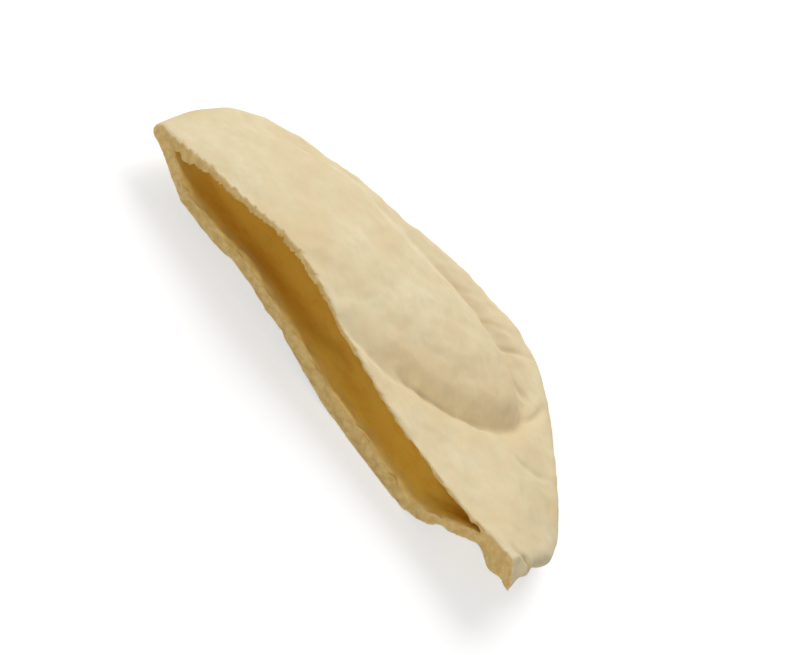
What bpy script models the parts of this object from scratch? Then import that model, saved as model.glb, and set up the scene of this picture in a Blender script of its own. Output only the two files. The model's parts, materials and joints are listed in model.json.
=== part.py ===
"""Half of a pocket pita, lying on its lower wall.

The loaf is baked whole, puffs into a hollow pocket and is cut straight across.
The mouth that the cut opens faces -Y, the round rim is towards +Y, the floor is
Z = 0 and the origin is under the middle of the piece. Metres, +Z up.

The functions below work from the cut: y is the distance behind it, and x runs
along it from the middle of the mouth.
"""
import math

import bmesh
import bpy
from mathutils import Vector

# The loaf, before it is cut. The cut passes a little in front of its centre.
RADIUS = 0.0855
CENTRE_BEHIND_CUT = 0.0028
CUT_TO_ORIGIN = 0.0447
RIM_THICKNESS = 0.0086
RIM_HEIGHT = 0.0068
RIM_BLEND = 0.024
PUFFED_FROM = 104
PUFFED_OVER = 26
UPPER_WALL = 0.0027
UPPER_LIP_THINNING = 0.0011
LOWER_WALL = 0.0044
LOWER_LIP_THICKENING = 0.0020
CRUMB_RIM = 0.0110
LEFT_CRUMB_RIM = 0.0070
CORNER_THINNING = 0.50
POCKET_ROUNDING = 0.009

# The rim is not a true circle: direction and width in degrees, size outwards
RIM_WAVES = (
    (160, 17, 0.0034),
    (113, 7, -0.0030),
    (100, 5, -0.0012),
    (78, 12, 0.0020),
    (44, 10, -0.0010),
    (20, 12, 0.0020),
    (9, 4.5, -0.0026),
)

# How far the rim is lifted: direction and width in degrees, height
RIM_LIFTS = (
    (189, 15, 0.0050),
    (161, 24, 0.0080),
    (72, 13, 0.0024),
    (-2, 17, 0.0105),
)

# The upper wall: a low facet, a puffed lobe that ends in a rounded nose, and
# the lip of the mouth, which gapes most to the left of its middle
FACET_HEIGHT = 0.0188
FACET_FALL = 0.080
TIP_LIFT = 0.0040
TIP_LIFT_FROM = 0.050
TIP_LIFT_OVER = 0.040
LOBE_CENTRE = (-0.019, 0.033)
LOBE_LENGTH = 0.068
LOBE_WIDTH = 0.032
LOBE_TURN = math.radians(22)
LOBE_HEIGHT = 0.0125
LOBE_SHOULDER = 0.9
GAPE_CENTRE = -0.027
GAPE_WIDTHS = (0.024, 0.036)
GAPE_HEIGHT = 0.0098
GAPE_DEPTH = 0.032
VALLEY_DISTANCE = 0.0170
VALLEY_DEPTH = 0.0022
VALLEY_WIDTH = 0.006
VALLEY_DIRECTION = 85
VALLEY_SPREAD = 27
SEAM_DEPTH = 0.0016
SEAM_WIDTH = 0.10
SEAM_FROM = 0.005
SEAM_OVER = 0.020
SHOULDER_HEIGHT = 0.0048
SHOULDER_DISTANCE = 0.021
SHOULDER_DEPTH = 0.015
SHOULDER_DIRECTION = 140
SHOULDER_SPREAD = 24

# The lower wall: flat where it rests, with a lip that lifts off the floor
LIP_DEPTH = 0.020
LEFT_LIP_LIFT = 0.0048
LEFT_LIP_HUMP = 0.0022
LEFT_HUMP_PLACE = -0.036
LEFT_HUMP_WIDTH = 0.009
RIGHT_LIP_LIFT = 0.0135

# How finely each closed surface is divided
LOAF_SEGMENTS = 108
LOAF_RINGS = 44
POCKET_SEGMENTS = 64
POCKET_RINGS = 24
MESH_CENTRE = Vector((0.0, 0.020))


def bump(value, centre, width):
    """A smooth hill of height 1 over a line."""
    return math.exp(-(((value - centre) / width) ** 2))


def ease(value):
    """Goes from 0 to 1 with level ends."""
    value = min(max(value, 0.0), 1.0)
    return value * value * (3 - 2 * value)


def mix(low, high, share):
    return low + (high - low) * share


def direction_of(x, y):
    """Degrees round the loaf, 0 at the right corner and 180 at the left one."""
    degrees = math.degrees(math.atan2(y - CENTRE_BEHIND_CUT, x))
    return degrees + 360 if degrees < -90 else degrees


def distance_from_centre(x, y):
    return math.hypot(x, y - CENTRE_BEHIND_CUT)


def outline(degrees):
    """The loaf's radius in one direction."""
    waves = sum(size * bump(degrees, at, width) for at, width, size in RIM_WAVES)
    return RADIUS + waves


def rim_half(degrees):
    """Half the rim's thickness, which is pinched thin at the left corner."""
    return RIM_THICKNESS / 2 * (1 - CORNER_THINNING * bump(degrees, 186, 12))


def crumb_rim(degrees):
    """How much of the rim is solid crumb, before the pocket begins."""
    return mix(CRUMB_RIM, LEFT_CRUMB_RIM, bump(degrees, 184, 22))


def rim_middle(degrees):
    """The height of the middle of the rim."""
    return RIM_HEIGHT + sum(lift * bump(degrees, at, width) for at, width, lift in RIM_LIFTS)


def lobe_reach(x, y):
    """0 at the middle of the puffed lobe and 1 at the foot of it."""
    dx = x - LOBE_CENTRE[0]
    dy = y - LOBE_CENTRE[1]
    along = dx * math.cos(LOBE_TURN) + dy * math.sin(LOBE_TURN)
    across = dy * math.cos(LOBE_TURN) - dx * math.sin(LOBE_TURN)
    return math.hypot(along / LOBE_LENGTH, across / LOBE_WIDTH)


def upper_form(x, y):
    """The upper wall's outer side, away from the rim."""
    facet = FACET_HEIGHT - FACET_FALL * y
    facet += TIP_LIFT * ease((x - TIP_LIFT_FROM) / TIP_LIFT_OVER)
    reach = lobe_reach(x, y)
    lobe = LOBE_HEIGHT * max(0.0, 1 - reach**2) ** LOBE_SHOULDER
    gape_width = GAPE_WIDTHS[0] if x < GAPE_CENTRE else GAPE_WIDTHS[1]
    gape = GAPE_HEIGHT * bump(x, GAPE_CENTRE, gape_width) * bump(y, 0.0, GAPE_DEPTH)
    lobe = math.hypot(lobe, gape)
    seam = SEAM_DEPTH * bump(reach, 1.0, SEAM_WIDTH) * ease((x - SEAM_FROM) / SEAM_OVER)
    inwards = outline(direction_of(x, y)) - distance_from_centre(x, y)
    valley = VALLEY_DEPTH * bump(inwards, VALLEY_DISTANCE, VALLEY_WIDTH)
    valley *= bump(direction_of(x, y), VALLEY_DIRECTION, VALLEY_SPREAD)
    shoulder = SHOULDER_HEIGHT * bump(inwards, SHOULDER_DISTANCE, SHOULDER_DEPTH)
    shoulder *= bump(direction_of(x, y), SHOULDER_DIRECTION, SHOULDER_SPREAD)
    return facet + lobe + shoulder - seam - valley


def lower_form(x, y):
    """The lower wall's outer side, away from the rim."""
    lip = 1 - ease(y / LIP_DEPTH)
    left = LEFT_LIP_LIFT * ease((0.016 - x) / 0.036)
    hump = LEFT_LIP_HUMP * bump(x, LEFT_HUMP_PLACE, LEFT_HUMP_WIDTH)
    right = RIGHT_LIP_LIFT * ease((x - 0.045) / 0.024)
    return lip * (left + hump + right)


def rim_share(inwards, degrees):
    """How far the upper wall has left the rim for its own form.

    The wall rises at once where the loaf is puffed up to its edge, on the left,
    and late where the rim is a flat flange.
    """
    share = min(inwards / RIM_BLEND, 1.0)
    puffed = ease((degrees - PUFFED_FROM) / PUFFED_OVER)
    return mix(ease(share), 1 - (1 - share) ** 2, puffed)


def section(x, y):
    """Heights of the loaf's under and upper side, and the distance to its edge."""
    y = max(y, 0.0)
    degrees = direction_of(x, y)
    inwards = max(outline(degrees) - distance_from_centre(x, y), 0.0)
    half = rim_half(degrees)
    middle = rim_middle(degrees)
    upper = mix(middle + half, upper_form(x, y), rim_share(inwards, degrees))
    lower = mix(middle - half, lower_form(x, y), ease(inwards / RIM_BLEND))
    if inwards < half:
        rounding = half - math.sqrt(max(inwards * (2 * half - inwards), 0.0))
        upper -= rounding
        lower += rounding
    return lower, upper, inwards


def pocket_section(x, y):
    """Heights of the pocket's floor and ceiling, which meet at its edge."""
    lower, upper, inwards = section(x, y)
    lip = 1 - ease(y / 0.014)
    lower += LOWER_WALL + LOWER_LIP_THICKENING * lip * bump(x, 0.016, 0.026)
    upper -= UPPER_WALL - UPPER_LIP_THINNING * lip * ease((x + 0.020) / 0.030)
    middle = mix(lower, upper, 0.40 - 0.20 * bump(x, -0.080, 0.025))
    inset = crumb_rim(direction_of(x, max(y, 0.0)))
    depth = min(max((inwards - inset) / POCKET_ROUNDING, 0.0), 1.0)
    gape = math.sqrt(1 - (1 - depth) ** 2)
    return mix(middle, lower, gape), mix(middle, upper, gape)


def edge_point(angle, inset_at):
    """Where a ray from the mesh's centre meets the outline, inset by a function."""
    ray = Vector((math.cos(angle), math.sin(angle)))
    near, far = 0.0, 2 * RADIUS
    for _ in range(40):
        reach = (near + far) / 2
        x, y = MESH_CENTRE + ray * reach
        degrees = direction_of(x, max(y, 0.0))
        if distance_from_centre(x, y) < outline(degrees) - inset_at(degrees):
            near = reach
        else:
            far = reach
    return MESH_CENTRE + ray * near


def no_inset(degrees):
    return 0.0


def add_form(name, collection, segments, rings, inset_at, heights):
    """A UV sphere drawn out to the outline, its two sides at the given heights."""
    bm = bmesh.new()
    bmesh.ops.create_uvsphere(bm, u_segments=segments, v_segments=rings, radius=1.0)
    for vertex in bm.verts:
        from_axis = min(math.hypot(vertex.co.x, vertex.co.y), 1.0)
        angle = math.atan2(vertex.co.y, vertex.co.x) + math.pi / segments
        flat = MESH_CENTRE.lerp(edge_point(angle, inset_at), from_axis)
        lower, upper = heights(flat.x, flat.y)[:2]
        if abs(vertex.co.z) < 1e-5:
            height = (lower + upper) / 2
        else:
            height = upper if vertex.co.z > 0 else lower
        vertex.co = Vector((flat.x, flat.y, height))
    bmesh.ops.recalc_face_normals(bm, faces=bm.faces)
    mesh = bpy.data.meshes.new(name)
    bm.to_mesh(mesh)
    bm.free()
    obj = bpy.data.objects.new(name, mesh)
    collection.objects.link(obj)
    return obj


def add_cutter_box(name, collection, low, high):
    """A box between two corners."""
    bm = bmesh.new()
    bmesh.ops.create_cube(bm, size=1.0)
    size = Vector(high) - Vector(low)
    middle = (Vector(high) + Vector(low)) / 2
    bmesh.ops.scale(bm, vec=size, verts=bm.verts)
    bmesh.ops.translate(bm, vec=middle, verts=bm.verts)
    mesh = bpy.data.meshes.new(name)
    bm.to_mesh(mesh)
    bm.free()
    obj = bpy.data.objects.new(name, mesh)
    collection.objects.link(obj)
    return obj


def cut(obj, cutter):
    """Takes the cutter's volume away from the object."""
    boolean = obj.modifiers.new("cut " + cutter.name, "BOOLEAN")
    boolean.operation = "DIFFERENCE"
    boolean.solver = "EXACT"
    boolean.object = cutter
    cutter.hide_render = True
    cutter.display_type = "WIRE"


# An empty scene, with one collection for the bread and one for its cutters
for old in list(bpy.data.objects):
    bpy.data.objects.remove(old)
bread = bpy.data.collections.new("pita bread")
cutters = bpy.data.collections.new("cutters")
for group in (bread, cutters):
    bpy.context.scene.collection.children.link(group)

# The mouth's middle, which everything is placed from
mouth = bpy.data.objects.new("mouth", None)
mouth.location = (0.0, -CUT_TO_ORIGIN, 0.0)
bread.objects.link(mouth)

# The whole loaf, then the cut across it and the pocket that the cut opens
half = add_form("pita_half", bread, LOAF_SEGMENTS, LOAF_RINGS, no_inset, section)
away = add_cutter_box(
    "other half", cutters, (-0.12, -0.12, -0.02), (0.12, 0.0, 0.06)
)
pocket = add_form(
    "pocket", cutters, POCKET_SEGMENTS, POCKET_RINGS, crumb_rim, pocket_section
)
for form in (half, away, pocket):
    form.parent = mouth
cut(half, away)
cut(half, pocket)

# Pale wheat skin
skin = bpy.data.materials.new("pale baked crust")
skin.use_nodes = True
shader = skin.node_tree.nodes["Principled BSDF"]
shader.inputs["Base Color"].default_value = (0.80, 0.68, 0.43, 1.0)
shader.inputs["Roughness"].default_value = 0.75
shader.inputs["Metallic"].default_value = 0.0
half.data.materials.append(skin)
half.data.shade_smooth()
half.data.set_sharp_from_angle(angle=math.radians(40))
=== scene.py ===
import json
import math

import bpy
import numpy as np
from mathutils import Matrix, Vector, kdtree, noise

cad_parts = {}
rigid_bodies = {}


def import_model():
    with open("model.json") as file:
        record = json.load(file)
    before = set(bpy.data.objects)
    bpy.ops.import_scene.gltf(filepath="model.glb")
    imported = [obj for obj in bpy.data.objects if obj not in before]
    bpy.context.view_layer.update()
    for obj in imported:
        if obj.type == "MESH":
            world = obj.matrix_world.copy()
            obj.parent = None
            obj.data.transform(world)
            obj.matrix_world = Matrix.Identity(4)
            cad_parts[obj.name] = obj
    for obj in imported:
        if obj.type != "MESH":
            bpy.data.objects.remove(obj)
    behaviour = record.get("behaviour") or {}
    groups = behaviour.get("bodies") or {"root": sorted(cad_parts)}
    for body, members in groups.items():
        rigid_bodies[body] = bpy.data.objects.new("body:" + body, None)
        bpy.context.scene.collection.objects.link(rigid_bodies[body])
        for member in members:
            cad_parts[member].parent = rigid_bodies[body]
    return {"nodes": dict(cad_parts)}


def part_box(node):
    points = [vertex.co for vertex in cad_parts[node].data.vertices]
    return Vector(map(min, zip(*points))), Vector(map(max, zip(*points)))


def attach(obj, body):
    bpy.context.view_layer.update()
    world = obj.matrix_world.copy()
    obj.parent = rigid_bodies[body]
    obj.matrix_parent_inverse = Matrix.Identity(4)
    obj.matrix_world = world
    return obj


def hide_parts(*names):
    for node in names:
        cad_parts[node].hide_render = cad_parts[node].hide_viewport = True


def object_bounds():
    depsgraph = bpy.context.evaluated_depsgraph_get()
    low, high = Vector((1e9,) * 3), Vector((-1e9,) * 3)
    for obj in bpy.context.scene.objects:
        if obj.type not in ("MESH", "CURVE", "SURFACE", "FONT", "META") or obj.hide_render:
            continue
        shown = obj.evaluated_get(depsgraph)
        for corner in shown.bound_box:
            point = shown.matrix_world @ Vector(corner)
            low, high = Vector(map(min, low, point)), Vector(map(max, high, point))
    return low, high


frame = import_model()
cad_low, cad_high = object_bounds()

# THE HALF LOAF
# One skin of baked wheat dough: pale crust outside, golden crumb in the pocket
# and torn pale crumb at the cut. It starts as the CAD solid's own shape, made
# even and soft; then the cut is torn and the crust's folds are pressed in.
VOXEL = 0.00086
SOFTENING_ROUNDS = 16
CUT_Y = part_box("pita_half")[0][1]
CUT_BAND = 0.0011
CUT_FACING = -0.45
REST_CLEARANCE = 0.0012
IN_THE_POCKET = Vector((0.0, CUT_Y + 0.040, 0.0044))

cad_loaf = frame["nodes"]["pita_half"]
bpy.ops.object.select_all(action="DESELECT")
cad_loaf.select_set(True)
bpy.context.view_layer.objects.active = cad_loaf
bpy.ops.object.duplicate()
loaf = bpy.context.active_object
loaf.name = "pita_loaf"
bpy.ops.object.parent_clear(type="CLEAR_KEEP_TRANSFORM")
bpy.ops.object.transform_apply(location=True, rotation=True, scale=True)
bpy.ops.object.mode_set(mode="EDIT")
bpy.ops.mesh.select_all(action="SELECT")
bpy.ops.mesh.customdata_custom_splitnormals_clear()
bpy.ops.mesh.remove_doubles(threshold=0.000002)
bpy.ops.object.mode_set(mode="OBJECT")
loaf.data.materials.clear()


def apply_modifier(obj, kind, **settings):
    """Adds one modifier, sets it and applies it."""
    modifier = obj.modifiers.new(kind.lower(), kind)
    for setting, value in settings.items():
        setattr(modifier, setting, value)
    bpy.ops.object.modifier_apply(modifier=modifier.name)


def places(obj):
    """Every vertex's place, one row each."""
    flat = np.empty(len(obj.data.vertices) * 3, dtype=np.float32)
    obj.data.vertices.foreach_get("co", flat)
    return flat.reshape(-1, 3).astype(float)


def normals(obj):
    """Every vertex's normal, one row each."""
    flat = np.empty(len(obj.data.vertices) * 3, dtype=np.float32)
    obj.data.vertex_normals.foreach_get("vector", flat)
    return flat.reshape(-1, 3).astype(float)


def paint_group(obj, name, weights):
    """A vertex group with these weights."""
    group = obj.vertex_groups.new(name=name)
    for index in np.flatnonzero(weights > 0.004):
        group.add([int(index)], float(min(weights[index], 1.0)), "REPLACE")
    return group.name


def press(obj, name, weights, height, direction="NORMAL"):
    """Moves vertices by their weight: outwards or, where height is below 0, inwards."""
    group = paint_group(obj, name, weights)
    apply_modifier(
        obj, "DISPLACE", direction=direction, mid_level=0.0, strength=height, vertex_group=group
    )


def roughen(obj, name, weights, size, height, direction="NORMAL", middle=0.5):
    """Moves vertices to and fro by cloudy noise with lumps of one size."""
    group = paint_group(obj, name, weights)
    clouds = bpy.data.textures.new(name, "CLOUDS")
    clouds.noise_scale = size
    clouds.noise_depth = 1
    apply_modifier(
        obj,
        "DISPLACE",
        texture=clouds,
        texture_coords="LOCAL",
        direction=direction,
        mid_level=middle,
        strength=height,
        vertex_group=group,
    )


def hill(value, centre, width):
    """1 at the centre, falling softly to 0 over about twice the width."""
    return np.exp(-(((value - centre) / width) ** 2))


def ease(value):
    """A soft step: 0 below 0, 1 above 1."""
    value = np.clip(value, 0.0, 1.0)
    return value * value * (3 - 2 * value)


def select_cut_faces():
    """Selects the faces of the cut: close to its plane and facing forwards."""
    for polygon in loaf.data.polygons:
        near = polygon.center.y - CUT_Y < CUT_BAND
        polygon.select = near and polygon.normal.y < CUT_FACING


apply_modifier(loaf, "REMESH", mode="VOXEL", voxel_size=VOXEL, adaptivity=0.0)

# The cut keeps its edges while the rest loses the facets of the CAD solid
behind_cut = places(loaf)[:, 1] - CUT_Y
soft = paint_group(loaf, "soft", 0.30 + 0.70 * ease((behind_cut - 0.0008) / 0.004))
apply_modifier(loaf, "SMOOTH", factor=0.5, iterations=SOFTENING_ROUNDS, vertex_group=soft)

# The cut's faces are split finer, so that the crumb's pores can be mesh
bpy.ops.object.mode_set(mode="EDIT")
bpy.ops.mesh.select_mode(type="FACE")
bpy.ops.mesh.select_all(action="DESELECT")
bpy.ops.object.mode_set(mode="OBJECT")
select_cut_faces()
bpy.ops.object.mode_set(mode="EDIT")
bpy.ops.mesh.select_more()
bpy.ops.mesh.subdivide(number_cuts=1)

# Inside and outside: with the cut's faces hidden, the pocket's wall is one
# island and the crust the other
bpy.ops.mesh.select_all(action="DESELECT")
bpy.ops.object.mode_set(mode="OBJECT")
select_cut_faces()
bpy.ops.object.mode_set(mode="EDIT")
bpy.ops.mesh.hide(unselected=False)
bpy.ops.object.mode_set(mode="OBJECT")
nearest = min(loaf.data.polygons, key=lambda p: (p.center - IN_THE_POCKET).length)
nearest.select = True
bpy.ops.object.mode_set(mode="EDIT")
bpy.ops.mesh.select_linked()
bpy.ops.object.mode_set(mode="OBJECT")
on_pocket = np.zeros(len(loaf.data.vertices), dtype=bool)
on_cut = np.zeros(len(loaf.data.vertices), dtype=bool)
on_crust = np.zeros(len(loaf.data.vertices), dtype=bool)
for polygon in loaf.data.polygons:
    if polygon.select:
        on_pocket[list(polygon.vertices)] = True
    elif polygon.hide:
        on_cut[list(polygon.vertices)] = True
    else:
        on_crust[list(polygon.vertices)] = True
bpy.ops.object.mode_set(mode="EDIT")
bpy.ops.mesh.reveal(select=False)
bpy.ops.object.mode_set(mode="OBJECT")

at = places(loaf)
facing = normals(loaf)
along_cut = at[:, 0]
behind_cut = at[:, 1] - CUT_Y
height = at[:, 2]


def distance_to(chosen, reach):
    """Each vertex's distance to the nearest chosen one, looked up near the cut."""
    tree = kdtree.KDTree(int(chosen.sum()))
    for index in np.flatnonzero(chosen):
        tree.insert(at[index], int(index))
    tree.balance()
    distance = np.full(len(at), reach)
    for index in np.flatnonzero(behind_cut < reach):
        distance[index] = tree.find(at[index])[2]
    return distance


def lumps(size, seed=0.0):
    """Noise of one lump size at each vertex near the cut, about -1 to 1."""
    values = np.zeros(len(at))
    shift = Vector((seed, seed, seed))
    for index in np.flatnonzero(behind_cut < 0.008):
        values[index] = noise.noise(Vector(at[index]) / size + shift)
    return values


# The torn cut: crumb pores, a ragged inner edge, and lumps along the lower lip.
# The right part is the coarser; the upper lip's left half is the more torn.
PORE = 0.0012
PORE_DEPTH = 0.00035
HOLLOW = 0.0030
HOLLOW_DEPTH = 0.0008
to_inner_edge = distance_to(on_cut & on_pocket, 0.008)
to_crust = distance_to(on_cut & on_crust, 0.008)
in_crumb = ease(to_crust / 0.0011)
amid_crumb = in_crumb * ease(to_inner_edge / 0.0012)
right_part = 0.3 + 0.7 * ease((along_cut - 0.006) / 0.020)
pits = ease((lumps(PORE) - 0.05) / 0.55) * amid_crumb * on_cut * right_part
hollows = ease((lumps(HOLLOW, 7.0) + 0.45) / 1.1) * amid_crumb
press(loaf, "pits", pits, PORE_DEPTH, "Y")
press(loaf, "hollows", hollows * hill(behind_cut, 0.0, 0.0015), HOLLOW_DEPTH, "Y")

TEAR = 0.0010
TEAR_HEIGHT = 0.0026
WAVE = 0.0040
WAVE_HEIGHT = 0.0022
ragged = hill(to_inner_edge, 0.0, 0.0011) * in_crumb
left_half = ease((0.004 - along_cut) / 0.024)
upper_lip = ease((height - 0.0125) / 0.002)
torn = (0.2 + 0.8 * left_half) * (0.25 + 0.75 * upper_lip)
roughen(loaf, "ragged", ragged * torn, TEAR, TEAR_HEIGHT, "Z")
roughen(loaf, "ragged wide", ragged, WAVE, WAVE_HEIGHT, "Z")

# A curtain of crumb hangs from the upper lip beside the left corner
CURTAIN_PLACE = -0.072
CURTAIN_WIDTH = 0.011
CURTAIN_DROP = 0.0026
curtain = hill(to_inner_edge, 0.0, 0.0018) * (facing[:, 2] < 0.25) * (height > 0.0135)
curtain = curtain * ease(to_crust / 0.0014)
curtain = curtain * hill(along_cut, CURTAIN_PLACE, CURTAIN_WIDTH) * (behind_cut < 0.004)
fringe = 0.65 + 0.7 * np.clip(lumps(0.0022, 3.0), -0.5, 0.5)
press(loaf, "curtain", curtain * fringe, -CURTAIN_DROP, "Z")

LIP_LUMP = 0.0065
LIP_LUMP_HEIGHT = 0.0038
lower_lip = ease((0.0165 - height) / 0.002) * hill(behind_cut, 0.0, 0.006)
off_floor = ease((height - 0.0008) / 0.002)
lumpy = lower_lip * off_floor * right_part * ~on_pocket
roughen(loaf, "lip lumps", lumpy, LIP_LUMP, LIP_LUMP_HEIGHT, "Z")

eased = hill(to_inner_edge, 0.0, 0.0016) * (0.4 + 0.6 * (1 - upper_lip))
eased_group = paint_group(loaf, "eased", eased)
apply_modifier(loaf, "SMOOTH", factor=0.5, iterations=3, vertex_group=eased_group)

# The right corner is drawn out to a point, low down, by the tear
TIP_FROM = 0.0765
POINT_FROM = 0.0780
tip = ease((along_cut - TIP_FROM) / 0.009) * hill(behind_cut, 0.0, 0.009)
press(loaf, "tip", tip * ease((height - 0.0125) / 0.0085), -0.0018, "X")
point = ease((along_cut - POINT_FROM) / 0.007) * hill(behind_cut, 0.0, 0.007)
press(loaf, "point", point * ease((height - 0.0115) / 0.004), -0.0032, "Z")
behind_tip = hill(behind_cut, 0.0050, 0.0032) * ease((along_cut - POINT_FROM) / 0.005)
press(loaf, "behind tip", behind_tip, -0.0014, "X")
press(loaf, "under tip", behind_tip * ease((0.0190 - height) / 0.004), 0.0016, "Z")

# The crust is slightly uneven everywhere that it does not rest
SWELLING = 0.0150
SWELLING_HEIGHT = 0.0016
PUCKER = 0.0050
PUCKER_HEIGHT = 0.0009
outside = (on_crust & ~on_cut) * ease((height - REST_CLEARANCE) / 0.003)
from_above = outside * ease((facing[:, 2] - 0.4) / 0.4)
roughen(loaf, "uneven", outside, SWELLING, SWELLING_HEIGHT, middle=0.58)
roughen(loaf, "puckered", from_above, PUCKER, PUCKER_HEIGHT, middle=0.58)

# Folds of the crust, each pressed in along a short bent line. Its two ends are
# along the cut and behind it; bow is how far the middle leaves the straight.
FOLDS = (
    # from, to, bow, width, depth
    ((0.0040, 0.0660), (0.0140, 0.0640), 0.0010, 0.0013, 0.0011),
    ((0.0160, 0.0660), (0.0285, 0.0645), 0.0008, 0.0018, 0.0007),
    ((0.0215, 0.0655), (0.0270, 0.0655), 0.0002, 0.0016, 0.0010),
    ((0.0270, 0.0645), (0.0390, 0.0665), 0.0010, 0.0014, 0.0009),
    ((0.0090, 0.0700), (0.0175, 0.0810), 0.0015, 0.0011, 0.0004),
    ((0.0175, 0.0680), (0.0290, 0.0820), 0.0006, 0.0009, 0.0008),
    ((-0.0040, 0.0715), (0.0040, 0.0820), 0.0010, 0.0012, 0.0004),
    ((0.0445, 0.0600), (0.0425, 0.0720), -0.0010, 0.0012, 0.0014),
    ((0.0360, 0.0500), (0.0420, 0.0478), 0.0003, 0.0008, 0.0004),
    ((0.0385, 0.0545), (0.0440, 0.0520), 0.0003, 0.0008, 0.0004),
    ((0.0500, 0.0395), (0.0640, 0.0520), -0.0022, 0.0012, 0.0006),
    ((0.0340, 0.0100), (0.0410, 0.0130), 0.0005, 0.0016, 0.0003),
    ((0.0745, 0.0050), (0.0850, 0.0105), -0.0006, 0.0012, 0.0013),
)
upper_side = (facing[:, 2] > 0.15) & on_crust & ~on_cut
for number, (start, end, bow, width, depth) in enumerate(FOLDS):
    start, end = np.array(start), np.array(end)
    side = np.array([start[1] - end[1], end[0] - start[0]])
    side /= np.linalg.norm(side)
    fold = np.zeros(len(at))
    for share in np.linspace(0.0, 1.0, 21):
        bend = bow * 4 * share * (1 - share)
        point = start + (end - start) * share + side * bend
        taper = min(1.0, 3 * share, 3 * (1 - share)) ** 0.7
        distance = np.hypot(along_cut - point[0], behind_cut - point[1])
        fold = np.maximum(fold, taper * hill(distance, 0.0, width))
    press(loaf, f"fold {number}", fold * upper_side, -depth)

# The seam round the lobe's nose, with the lobe swelling over it. The pocket's
# roof goes down with the seam, so that the wall stays whole.
LOBE_CENTRE = (-0.019, 0.033)
LOBE_LENGTH = 0.068
LOBE_WIDTH = 0.032
LOBE_TURN = math.radians(22)
SEAM_DEPTH = 0.0012
SWELL = 0.0009
dx = along_cut - LOBE_CENTRE[0]
dy = behind_cut - LOBE_CENTRE[1]
along_lobe = dx * math.cos(LOBE_TURN) + dy * math.sin(LOBE_TURN)
across_lobe = dy * math.cos(LOBE_TURN) - dx * math.sin(LOBE_TURN)
reach = np.hypot(along_lobe / LOBE_LENGTH, across_lobe / LOBE_WIDTH)
round_nose = ease((along_cut - 0.004) / 0.022) * ease((0.066 - behind_cut) / 0.008)
press(loaf, "seam", hill(reach, 1.0, 0.032) * round_nose * upper_side, -SEAM_DEPTH)
pocket_roof = on_pocket * ease((-0.3 - facing[:, 2]) / 0.5)
press(loaf, "seam below", hill(reach, 1.0, 0.06) * round_nose * pocket_roof, -SEAM_DEPTH, "Z")
press(loaf, "swell", hill(reach, 0.86, 0.08) * round_nose * upper_side, SWELL)

# The lobe's foot runs on to the lip, where the whole wall dips and kinks
DIP = 0.0016
BROW = 0.0013
front_foot = ease((along_cut + 0.012) / 0.012) * ease((0.026 - along_cut) / 0.016)
front_foot = front_foot * (height > 0.0145) * ease((0.030 - behind_cut) / 0.012)
press(loaf, "dip", hill(reach, 1.09, 0.07) * front_foot, -DIP, "Z")
press(loaf, "brow", hill(reach, 0.86, 0.11) * front_foot, BROW, "Z")

# What the finish reads: the pocket, its pale edge (which also holds a painted pool of light),
# the crumb and its pores, and the nose, whose flank gets painted shade
pocket_floor = ease(facing[:, 2] / 0.5)
# The pocket's pale edge fades in from the cut, further on the floor; the hill left of middle
# widens it into a painted pool of light on the pocket's floor
edge_and_light_pool_reach = 0.0015 + (0.0035 + 0.0070 * hill(along_cut, -0.038, 0.009)) * pocket_floor
lip = on_pocket * hill(behind_cut, 0.0, edge_and_light_pool_reach)
nose = hill(reach, 0.84, 0.22) * ease((along_cut - 0.002) / 0.014) * upper_side
loaf.vertex_groups.clear()
masks = {
    "inside": on_pocket,
    "crumb": on_cut * ease(0.15 + to_crust / 0.0009),
    "lip": lip,
    "pits": pits,
    "nose": nose,
}
for mask_name, mask in masks.items():
    attribute = loaf.data.attributes.new(mask_name, "FLOAT", "POINT")
    attribute.data.foreach_set("value", mask.astype(np.float32))

bpy.ops.object.shade_smooth()
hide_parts("pita_half")
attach(loaf, "root")

# Its finish: matte, floury crust; open crumb; a golden pocket lit through its walls
CRUST = (0.84, 0.73, 0.475, 1.0)
CRUST_TAN = (0.76, 0.60, 0.345, 1.0)
POCKET = (0.97, 0.69, 0.12, 1.0)
POCKET_BROWN = (0.93, 0.60, 0.09, 1.0)
POCKET_EDGE_AND_LIGHT_POOL = (0.85, 0.61, 0.19, 1.0)
CRUMB = (0.66, 0.47, 0.185, 1.0)
CRUMB_DARK = (0.56, 0.375, 0.125, 1.0)

finish = bpy.data.materials.new("baked_dough")
finish.use_nodes = True
tree = finish.node_tree
shader = tree.nodes["Principled BSDF"]
shader.inputs["Roughness"].default_value = 0.72
shader.inputs["Specular IOR Level"].default_value = 0.3
shader.inputs["Subsurface Weight"].default_value = 0.15
shader.inputs["Subsurface Scale"].default_value = 0.003
coordinates = tree.nodes.new("ShaderNodeTexCoord")


def add_noise(scale, detail, roughness=0.5, stretch=None):
    """Cloudy noise; stretch turns and scales it into streaks along the lobe."""
    texture = tree.nodes.new("ShaderNodeTexNoise")
    texture.inputs["Scale"].default_value = scale
    texture.inputs["Detail"].default_value = detail
    texture.inputs["Roughness"].default_value = roughness
    vector = coordinates.outputs["Object"]
    if stretch:
        mapping = tree.nodes.new("ShaderNodeMapping")
        mapping.vector_type = "TEXTURE"
        mapping.inputs["Rotation"].default_value = (0.0, 0.0, stretch[0])
        mapping.inputs["Scale"].default_value = stretch[1]
        tree.links.new(vector, mapping.inputs["Vector"])
        vector = mapping.outputs["Vector"]
    tree.links.new(vector, texture.inputs["Vector"])
    return texture.outputs["Fac"]


def remap(value, low, high, to_low=0.0, to_high=1.0):
    """Stretches the part of a mask between low and high to other ends."""
    node = tree.nodes.new("ShaderNodeMapRange")
    node.inputs["From Min"].default_value = low
    node.inputs["From Max"].default_value = high
    node.inputs["To Min"].default_value = to_low
    node.inputs["To Max"].default_value = to_high
    tree.links.new(value, node.inputs["Value"])
    return node.outputs["Result"]


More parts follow.
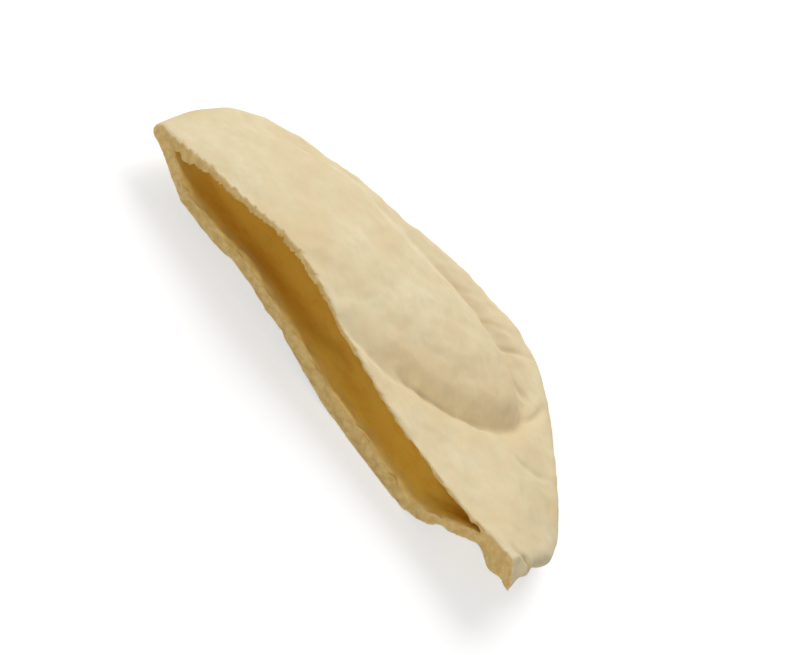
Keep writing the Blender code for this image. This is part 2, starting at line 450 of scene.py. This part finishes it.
def mix_colours(share, first, second):
    """Goes from the first colour to the second; either may be a socket."""
    node = tree.nodes.new("ShaderNodeMix")
    node.data_type = "RGBA"
    tree.links.new(share, node.inputs[0])
    for socket, colour in ((node.inputs[6], first), (node.inputs[7], second)):
        if isinstance(colour, tuple):
            socket.default_value = colour
        else:
            tree.links.new(colour, socket)
    return node.outputs[2]


def combine(operation, first, second):
    """One sum on two masks; either may be a plain number."""
    node = tree.nodes.new("ShaderNodeMath")
    node.operation = operation
    for socket, value in zip(node.inputs, (first, second)):
        if isinstance(value, float):
            socket.default_value = value
        else:
            tree.links.new(value, socket)
    return node.outputs[0]


def read_mask(name):
    """A mask of the mesh, as a socket."""
    node = tree.nodes.new("ShaderNodeAttribute")
    node.attribute_name = name
    return node.outputs["Fac"]


def add_bump(value, distance, strength, below=None):
    """Relief from a mask, laid over the relief below it."""
    node = tree.nodes.new("ShaderNodeBump")
    node.inputs["Distance"].default_value = distance
    if isinstance(strength, float):
        node.inputs["Strength"].default_value = strength
    else:
        tree.links.new(strength, node.inputs["Strength"])
    tree.links.new(value, node.inputs["Height"])
    if below:
        tree.links.new(below, node.inputs["Normal"])
    return node.outputs["Normal"]


STREAKS = (math.radians(-18), (1.0, 0.11, 0.35))
streaks = add_noise(75, 2, 0.5, STREAKS)
cotton = add_noise(260, 4, 0.6)
mottle = remap(add_noise(45, 3), 0.35, 0.75)
crust_colour = mix_colours(mottle, CRUST, CRUST_TAN)
crust_colour = mix_colours(remap(cotton, 0.42, 0.62, 0.0, 0.30), crust_colour, CRUST_TAN)
streak_share = remap(read_mask("nose"), 0.0, 1.0, 0.12, 0.5)
streaked = combine("MULTIPLY", remap(streaks, 0.45, 0.62), streak_share)
crust_colour = mix_colours(streaked, crust_colour, CRUST_TAN)
# Painted shade: the nose's flank is mixed towards tan, as if in shade
crust_colour = mix_colours(remap(read_mask("nose"), 0.2, 1.0, 0.0, 0.8), crust_colour, CRUST_TAN)
pocket_colour = mix_colours(remap(add_noise(170, 4, 0.6), 0.48, 0.68), POCKET, POCKET_BROWN)
# Darker crumb in places by noise, and painted shade in the pressed pores
grain_and_pore_shade = remap(add_noise(360, 3, 0.6), 0.42, 0.60)
grain_and_pore_shade = combine("MAXIMUM", grain_and_pore_shade, remap(read_mask("pits"), 0.0, 1.0, 0.0, 0.6))
crumb_colour = mix_colours(grain_and_pore_shade, CRUMB, CRUMB_DARK)
# The pale edge colour, over the same mask, also paints that pool of light on the pocket's floor
frayed_edge_and_light_pool = combine("ADD", read_mask("lip"), remap(add_noise(420, 3), 0.3, 0.7, -0.35, 0.35))
edge_and_light_pool_share = combine("MULTIPLY", remap(frayed_edge_and_light_pool, 0.2, 0.8), remap(read_mask("lip"), 0.02, 0.2))
pocket_colour = mix_colours(edge_and_light_pool_share, pocket_colour, POCKET_EDGE_AND_LIGHT_POOL)
colour = mix_colours(read_mask("inside"), crust_colour, pocket_colour)
colour = mix_colours(read_mask("crumb"), colour, crumb_colour)
tree.links.new(colour, shader.inputs["Base Color"])
grain = add_bump(cotton, 0.0004, 0.35)
grain = add_bump(streaks, 0.0006, remap(read_mask("nose"), 0.0, 1.0, 0.10, 0.45), grain)
tree.links.new(grain, shader.inputs["Normal"])
loaf.data.materials.append(finish)

# THE FLOOR
# A plain white sheet, bright to the eye alone and dim where the bread shades it
FLOOR_SIZE = 8.0
FLOOR_COLOUR = (0.60, 0.60, 0.60, 1.0)
GLOW_BY_THE_BREAD = 0.52
GLOW_FAR_OFF = 1.0
LAMPLIT_RADIUS = 0.3
UNLIT_RADIUS = 1.5
bpy.ops.mesh.primitive_plane_add(size=FLOOR_SIZE, location=(0.0, 0.0, cad_low.z))
floor = bpy.context.active_object
floor.name = "floor"
floor_finish = bpy.data.materials.new("white_floor")
floor_finish.use_nodes = True
floor_tree = floor_finish.node_tree
floor_shader = floor_tree.nodes["Principled BSDF"]
floor_shader.inputs["Base Color"].default_value = FLOOR_COLOUR
floor_shader.inputs["Roughness"].default_value = 0.9
floor_shader.inputs["Emission Color"].default_value = (1.0, 1.0, 1.0, 1.0)


def add_shown(to_tree):
    """1 for rays that show in the picture: straight, mirrored or through glass."""
    path = to_tree.nodes.new("ShaderNodeLightPath")
    shown = path.outputs["Is Camera Ray"]
    for ray in ("Is Glossy Ray", "Is Transmission Ray"):
        either = to_tree.nodes.new("ShaderNodeMath")
        either.operation = "MAXIMUM"
        to_tree.links.new(shown, either.inputs[0])
        to_tree.links.new(path.outputs[ray], either.inputs[1])
        shown = either.outputs[0]
    return shown


# The glow grows away from the bread, where the lamps no longer reach the sheet
floor_place = floor_tree.nodes.new("ShaderNodeTexCoord")
from_centre = floor_tree.nodes.new("ShaderNodeVectorMath")
from_centre.operation = "LENGTH"
floor_tree.links.new(floor_place.outputs["Object"], from_centre.inputs[0])
glow_level = floor_tree.nodes.new("ShaderNodeMapRange")
glow_level.inputs["From Min"].default_value = LAMPLIT_RADIUS
glow_level.inputs["From Max"].default_value = UNLIT_RADIUS
glow_level.inputs["To Min"].default_value = GLOW_BY_THE_BREAD
glow_level.inputs["To Max"].default_value = GLOW_FAR_OFF
floor_tree.links.new(from_centre.outputs["Value"], glow_level.inputs["Value"])
glow = floor_tree.nodes.new("ShaderNodeMath")
glow.operation = "MULTIPLY"
floor_tree.links.new(add_shown(floor_tree), glow.inputs[0])
floor_tree.links.new(glow_level.outputs["Result"], glow.inputs[1])
floor_tree.links.new(glow.outputs[0], floor_shader.inputs["Emission Strength"])
floor.data.materials.append(floor_finish)

# LIGHT
# A broad soft lamp from above, behind and to the left; a weaker one from the
# front that reaches into the pocket; and an even white surround
LAMP_DISTANCE = 1.2
SURROUND_LEVEL = 0.27


def add_lamp(direction, energy, size):
    """A square lamp that looks at the bread from this direction."""
    direction = Vector(direction).normalized()
    bpy.ops.object.light_add(type="AREA", location=direction * LAMP_DISTANCE)
    lamp = bpy.context.active_object
    lamp.data.energy = energy
    lamp.data.size = size
    lamp.rotation_euler = direction.to_track_quat("Z", "Y").to_euler()


add_lamp(direction=(-0.33, 0.56, 0.76), energy=10.9, size=0.9)
add_lamp(direction=(0.12, -0.90, 0.36), energy=5.6, size=0.5)

world = bpy.data.worlds.new("studio")
bpy.context.scene.world = world
world.use_nodes = True
background = world.node_tree.nodes["Background"]
background.inputs["Color"].default_value = (1.0, 1.0, 1.0, 1.0)
level = world.node_tree.nodes.new("ShaderNodeMapRange")
level.inputs["To Min"].default_value = SURROUND_LEVEL
level.inputs["To Max"].default_value = 1.0
world.node_tree.links.new(add_shown(world.node_tree), level.inputs["Value"])
world.node_tree.links.new(level.outputs["Result"], background.inputs["Strength"])

# THE CAMERA
# It looks down into the mouth, a little from the right, and is rolled so that
# the cut runs from the upper left to the lower right. Then come the sizes.
AZIMUTH = math.radians(12)
ELEVATION = math.radians(36)
ROLL = math.radians(45)
DISTANCE = 0.8
LENS = 120
TARGET = Vector((0.0, -0.004, 0.010))
back = Vector(
    (
        math.sin(AZIMUTH) * math.cos(ELEVATION),
        -math.cos(AZIMUTH) * math.cos(ELEVATION),
        math.sin(ELEVATION),
    )
)
level_right = Vector((math.cos(AZIMUTH), math.sin(AZIMUTH), 0.0))
level_up = back.cross(level_right)
right = level_right * math.cos(ROLL) + level_up * math.sin(ROLL)
up = back.cross(right)
turn = Matrix((right, up, back)).transposed().to_4x4()
bpy.ops.object.camera_add()
camera = bpy.context.active_object
camera.matrix_world = Matrix.Translation(TARGET + back * DISTANCE) @ turn
camera.data.lens = LENS
bpy.context.scene.camera = camera

bpy.context.scene.view_settings.view_transform = "Standard"
